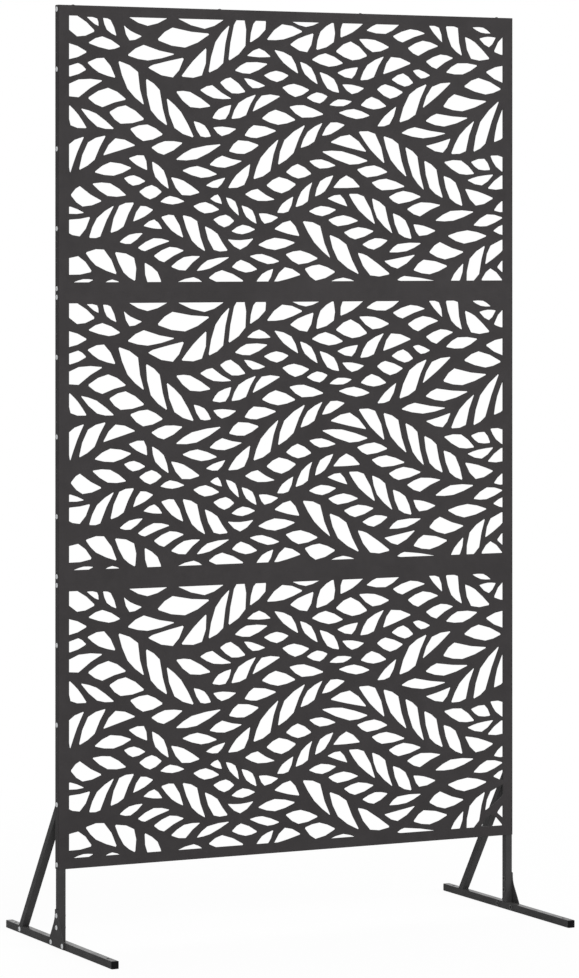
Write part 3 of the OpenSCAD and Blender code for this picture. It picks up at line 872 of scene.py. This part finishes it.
@dataclass(frozen=True)
class TubeCap:
    """Moulded cap for an end of square tube, with a crowned face and a ribbed plug."""

    width: float = SIZES.tube
    radius: float = SIZES.tube_radius
    head: float = SIZES.cap_head
    plug: float = SIZES.cap_plug
    bore: float = SIZES.tube - 2 * SIZES.tube_wall - 2 * SIZES.slide_fit
    crown: float = 0.35 * MM
    round_over: float = 1.6 * MM
    corner_growth: float = 0.8
    face_shares: tuple[float, ...] = (0.2, 0.45, 0.7, 0.9)
    edge_rings: int = 6
    ribs: int = 4
    rib: float = 0.35 * MM
    plug_radius: float = 0.8 * MM
    arc_steps: int = 6

    def ring(self, half: float, radius: float) -> np.ndarray:
        """Points round a square with rounded corners.

        Each corner is an arc about a centre that lies a radius inside both sides, so a point is the
        corner's signs times the half width less the radius, plus the radius along the arc's angle.

        Args:
            half: half of the square's width.
            radius: corner radius.

        Returns:
            Points of the ring as pairs.
        """
        quarter = np.repeat(np.arange(4), self.arc_steps)
        angle = (quarter + np.tile(np.linspace(0, 1, self.arc_steps), 4)) * np.pi / 2
        corner = (quarter + 0.5) * np.pi / 2
        signs = np.sign(np.stack([np.cos(corner), np.sin(corner)], -1))
        return signs * (half - radius) + radius * np.stack([np.cos(angle), np.sin(angle)], -1)

    def surface(self) -> tuple[np.ndarray, np.ndarray, np.ndarray]:
        """Rings from the crowned face over the rounded edge, down the head's side and along the ribbed plug.

        The face rises towards its middle by the crown times one less the square of the share of its half
        width. The edge is a quarter round, and the corners' radius grows along it. The plug swells to the
        bore at each rib.

        Returns:
            The rings, the pole on the face and the pole inside the tube.
        """
        half, inner = self.width / 2, self.bore / 2
        top = self.head - self.crown
        waist, corner, end = inner - self.rib, self.plug_radius, -self.plug
        face, full = half - self.round_over, self.radius + self.corner_growth * self.round_over
        steps: list[tuple[float, float, float]] = [
            (share * face, share * full, top + self.crown * (1 - share**2)) for share in self.face_shares
        ]
        for turn in np.linspace(0.0, 1.0, self.edge_rings):
            inset = self.round_over * (1 - math.sin(turn * math.pi / 2))
            drop = self.round_over * (1 - math.cos(turn * math.pi / 2))
            steps.append((half - inset, self.radius + self.corner_growth * inset, top - drop))
        steps += [
            (half, self.radius, 0.2 * MM),
            (half - 0.15 * MM, self.radius, 0.0),
            (waist, corner, 0.0),
        ]
        for z in np.linspace(-2.0 * MM, end + 3 * MM, self.ribs):
            steps += [
                (waist, corner, z + 0.7 * MM),
                (inner, corner, z + 0.2 * MM),
                (inner, corner, z - 0.1 * MM),
                (waist, corner, z - 0.9 * MM),
            ]
        steps += [(waist, corner, end + 0.8 * MM), (inner - 1.1 * MM, 0.6 * MM, end)]
        steps += [(inner - 1.5 * MM, 0.5 * MM, end), (inner - 1.6 * MM, 0.5 * MM, -1.0 * MM)]
        grid = np.stack([np.insert(self.ring(h, r), 2, z, axis=1) for h, r, z in steps])
        return grid, np.array([0.0, 0.0, self.head]), np.array([0.0, 0.0, -1.0 * MM])

    def fit(self, name: str, seat: Point, axis: Point, finishes: Finishes) -> None:
        """Puts a cap on the end of a tube.

        Args:
            name: the solid that the cap stands for.
            seat: middle of the tube's end.
            axis: direction out of the tube.
            finishes: the finishes.
        """
        skin = Skin()
        skin.place(*self.surface(), seat, axis)
        skin.piece(f"{name}_moulded", finishes.plastic, "black_plastic", name)


@dataclass
class Caps:
    """Caps on the posts' tops and on both ends of the feet."""

    sizes: ScreenSizes = SIZES

    def build(self, finishes: Finishes) -> None:
        """Fits the six caps.

        Args:
            finishes: the finishes.
        """
        s, cap = self.sizes, TubeCap()
        for side in Side:
            x = side.value * s.post_x
            cap.fit(f"post_cap_{side.word}", (x, 0, s.height - s.cap_head), (0, 0, 1), finishes)
            for end, word in ((-1, "front"), (1, "back")):
                seat = (x, end * (s.foot / 2 - s.cap_head), s.tube / 2)
                cap.fit(f"foot_cap_{side.word}_{word}", seat, (0, end, 0), finishes)


@dataclass
class Frame:
    """Posts, rails, feet, brackets and braces in paint, and the steel that is in them."""

    panels: tuple[str, ...] = ("top", "middle", "bottom")

    def build(self, finishes: Finishes) -> None:
        """Dresses the solids of the frame.

        Args:
            finishes: the finishes.
        """
        painted = [f"rail_{panel}_{edge}" for panel in self.panels for edge in ("upper", "lower")]
        hidden = ["rail_end_plugs", "sleeve_inserts", "rail_inserts"]
        for side in Side:
            painted += [f"{part}_{side.word}" for part in ("foot", "bracket", "brace")]
            painted += [f"post_{side.word}_{length}" for length in ("lower", "upper")]
            hidden += [f"{part}_{side.word}" for part in ("post_sleeve", "post_inserts")]
            dress(f"bracket_inserts_{side.word}", finishes.dark_steel)
        for node in painted:
            dress(node, finishes.tube)
        for node in hidden:
            dress(node, finishes.steel)


@dataclass
class LeafPanels:
    """The three folded panels with leaf-shaped openings."""

    places: tuple[str, ...] = ("top", "middle", "bottom")

    def build(self, finishes: Finishes) -> None:
        """Dresses the panels.

        Args:
            finishes: the finishes.
        """
        for place in self.places:
            dress(f"panel_{place}", finishes.panel)


@dataclass(frozen=True)
class SoftLamp:
    """One soft lamp of the studio."""

    name: str
    place: Point
    power: float
    width: float

    def hang(self, aim: Vector) -> None:
        """Hangs the lamp and points it.

        Args:
            aim: the point that it faces.
        """
        data = bpy.data.lights.new(self.name, "AREA")
        data.shape, data.size, data.energy = "DISK", self.width, self.power
        lamp = bpy.data.objects.new(self.name, data)
        lamp.location = self.place
        lamp.rotation_mode = "QUATERNION"
        lamp.rotation_quaternion = (aim - Vector(self.place)).to_track_quat("-Z", "Y")
        bpy.context.scene.collection.objects.link(lamp)


@dataclass
class Studio:
    """White room: pale floor, even light from all round, three soft lamps and the camera."""

    lamps: tuple[SoftLamp, ...] = (
        SoftLamp("key_lamp", (-1.2, -5.9, 3.2), 225, 2.4),
        SoftLamp("fill_lamp", (3.6, -4.2, 2.6), 110, 2.6),
        SoftLamp("top_lamp", (0.4, 2.6, 4.0), 70, 2.4),
    )
    sky: float = 0.52
    floor_half: float = 60.0
    floor_colour: Colour = (0.86, 0.86, 0.86)
    floor_glow: float = 0.94
    floor_near: float = 0.7
    floor_far: float = 2.2
    floor_white: float = 1.0
    camera_place: Point = (-3.8096, -7.5401, 1.4631)
    camera_heading: float = -26.793
    focal_pixels: float = 3938.5
    horizon_row: float = 245.35
    sensor: float = 36.0
    clip: tuple[float, float] = (0.1, 200.0)

    def seen(self, tree: bpy.types.NodeTree) -> Socket:
        """Marks rays that show the background: camera, glossy and transmission rays.

        Args:
            tree: the node tree to work in.

        Returns:
            1 for such rays, 0 for the rest.
        """
        path = tree.nodes.new("ShaderNodeLightPath")
        total = path.outputs["Is Camera Ray"]
        for name in ("Is Glossy Ray", "Is Transmission Ray"):
            step = tree.nodes.new("ShaderNodeMath")
            step.operation, step.use_clamp = "ADD", True
            tree.links.new(total, step.inputs[0])
            tree.links.new(path.outputs[name], step.inputs[1])
            total = step.outputs["Value"]
        return total

    def light_room(self) -> None:
        """Makes the world white to see, and softer as light."""
        world = bpy.data.worlds.new("white_room")
        bpy.context.scene.world = world
        world.use_nodes = True
        tree = world.node_tree
        tree.nodes.clear()
        mix = tree.nodes.new("ShaderNodeMixShader")
        tree.links.new(self.seen(tree), mix.inputs[0])
        for socket, strength in ((mix.inputs[1], self.sky), (mix.inputs[2], 1.0)):
            glow = tree.nodes.new("ShaderNodeBackground")
            glow.inputs["Color"].default_value = (1, 1, 1, 1)
            glow.inputs["Strength"].default_value = strength
            tree.links.new(glow.outputs[0], socket)
        output = tree.nodes.new("ShaderNodeOutputWorld")
        tree.links.new(mix.outputs[0], output.inputs["Surface"])

    def lay_floor(self) -> None:
        """Lays a pale floor that keeps a faint shadow of the screen."""
        h = self.floor_half
        mesh = bpy.data.meshes.new("studio_floor")
        mesh.from_pydata([(-h, -h, 0), (h, -h, 0), (h, h, 0), (-h, h, 0)], [], [(0, 1, 2, 3)])
        material = bpy.data.materials.new("pale_floor")
        material.use_nodes = True
        tree = material.node_tree
        tree.nodes.clear()
        matt = tree.nodes.new("ShaderNodeBsdfDiffuse")
        matt.inputs["Color"].default_value = (*self.floor_colour, 1)
        glow = tree.nodes.new("ShaderNodeEmission")
        glow.inputs["Color"].default_value = (1, 1, 1, 1)
        glow.inputs["Strength"].default_value = 1.0
        reach = tree.nodes.new("ShaderNodeVectorMath")
        reach.operation = "LENGTH"
        tree.links.new(tree.nodes.new("ShaderNodeTexCoord").outputs["Object"], reach.inputs[0])
        fade = tree.nodes.new("ShaderNodeMapRange")
        ends = (self.floor_near, self.floor_far, self.floor_glow, self.floor_white)
        for name, number in zip(RANGE_INPUTS, ends):
            fade.inputs[name].default_value = number
        tree.links.new(reach.outputs["Value"], fade.inputs["Value"])
        share = tree.nodes.new("ShaderNodeMath")
        share.operation = "MULTIPLY"
        tree.links.new(self.seen(tree), share.inputs[0])
        tree.links.new(fade.outputs["Result"], share.inputs[1])
        mix = tree.nodes.new("ShaderNodeMixShader")
        tree.links.new(share.outputs["Value"], mix.inputs[0])
        tree.links.new(matt.outputs[0], mix.inputs[1])
        tree.links.new(glow.outputs[0], mix.inputs[2])
        output = tree.nodes.new("ShaderNodeOutputMaterial")
        tree.links.new(mix.outputs[0], output.inputs["Surface"])
        mesh.materials.append(material)
        floor = bpy.data.objects.new("studio_floor", mesh)
        bpy.context.scene.collection.objects.link(floor)
        floor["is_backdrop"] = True

    def place_camera(self) -> None:
        """Stands the camera where the photograph was taken from, level, with the frame shifted down."""
        data = bpy.data.cameras.new("camera")
        wide, high = PICTURE_SIZE
        data.sensor_width = self.sensor
        data.lens = self.focal_pixels * self.sensor / high
        data.shift_y = (self.horizon_row - high / 2) / high
        data.clip_start, data.clip_end = self.clip
        camera = bpy.data.objects.new("camera", data)
        camera.location = self.camera_place
        camera.rotation_euler = (math.radians(90), 0, math.radians(self.camera_heading))
        bpy.context.scene.collection.objects.link(camera)
        bpy.context.scene.camera = camera

    def build(self) -> None:
        """Sets up the studio."""
        bpy.context.scene.view_settings.view_transform = "Standard"
        self.place_camera()
        self.light_room()
        self.lay_floor()
        for lamp in self.lamps:
            lamp.hang(Vector((0, 0, SIZES.height / 2)))
        log.info("studio with %d lamps", len(self.lamps))


def write_sizes() -> None:
    """Writes the box of the solids and of the dressed screen, for comparison."""
    low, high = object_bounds()
    boxes = {"cad": [list(cad_low), list(cad_high)], "visual": [list(low), list(high)]}
    for word, (first, last) in boxes.items():
        log.info("%s box %s to %s", word, np.round(first, 5).tolist(), np.round(last, 5).tolist())


def main() -> None:
    """Builds the studio, then each sub-assembly in order."""
    logging.basicConfig(level=logging.INFO, format="%(name)s: %(message)s")
    Studio().build()
    finishes = Finishes()
    for assembly in (LeafPanels(), Frame(), BoltSets(), Caps()):
        assembly.build(finishes)
    write_sizes()


if __name__ == "__main__":
    main()
